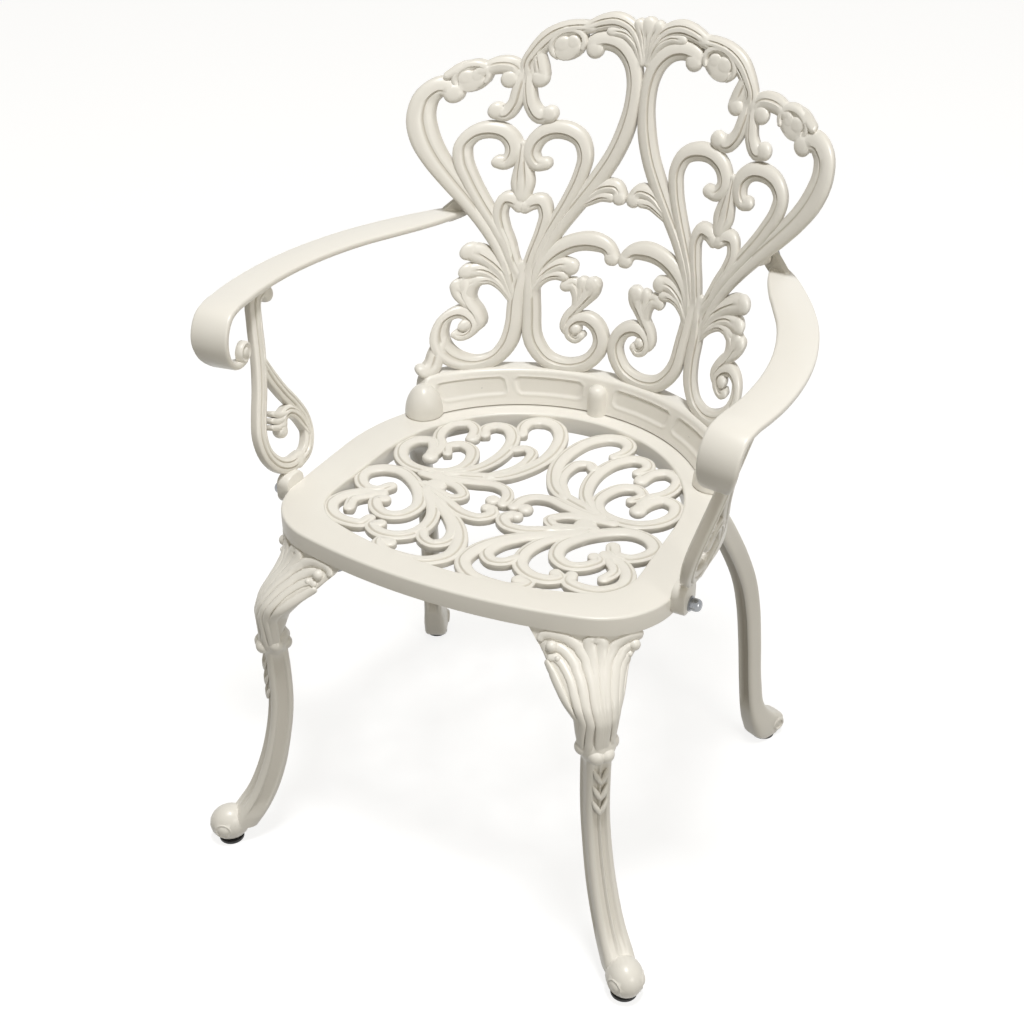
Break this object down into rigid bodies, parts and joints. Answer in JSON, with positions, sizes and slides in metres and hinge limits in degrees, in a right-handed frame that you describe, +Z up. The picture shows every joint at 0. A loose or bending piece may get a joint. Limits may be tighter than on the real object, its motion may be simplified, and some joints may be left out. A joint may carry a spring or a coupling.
{
  "type": "cast metal garden armchair",
  "caption": "Cast metal garden armchair with scrolled openwork back and seat, rolled band arms on pierced supports, cabriole front legs and sabre rear legs.",
  "frame": {"origin": "on the floor, under the middle of the chair's bounding box", "axes": "+Z up, the chair faces -Y, +X to the right as seen from the front; left and right in node names are as seen from the front"},
  "size_m": [0.6502, 0.6248, 0.896],
  "materials": {
    "cast_metal": "satin cream powder coat on cast aluminium",
    "glide": "matt black",
    "steel": "bright zinc-plated steel"
  },
  "bodies": {
    "root": {"seat_frame": "cast_metal", "back_panel": "cast_metal", "left_arm": "cast_metal", "right_arm": "cast_metal", "front_left_leg": "cast_metal", "front_right_leg": "cast_metal", "rear_left_leg": "cast_metal", "rear_right_leg": "cast_metal", "front_left_glide": "glide", "front_right_glide": "glide", "rear_left_glide": "glide", "rear_right_glide": "glide", "leg_bolts": "steel", "leg_washers": "steel", "back_bolts": "steel", "back_washers": "steel", "arm_seat_bolts": "steel", "arm_seat_washers": "steel", "arm_back_bolts": "steel", "arm_back_washers": "steel"}
  },
  "joints": []
}
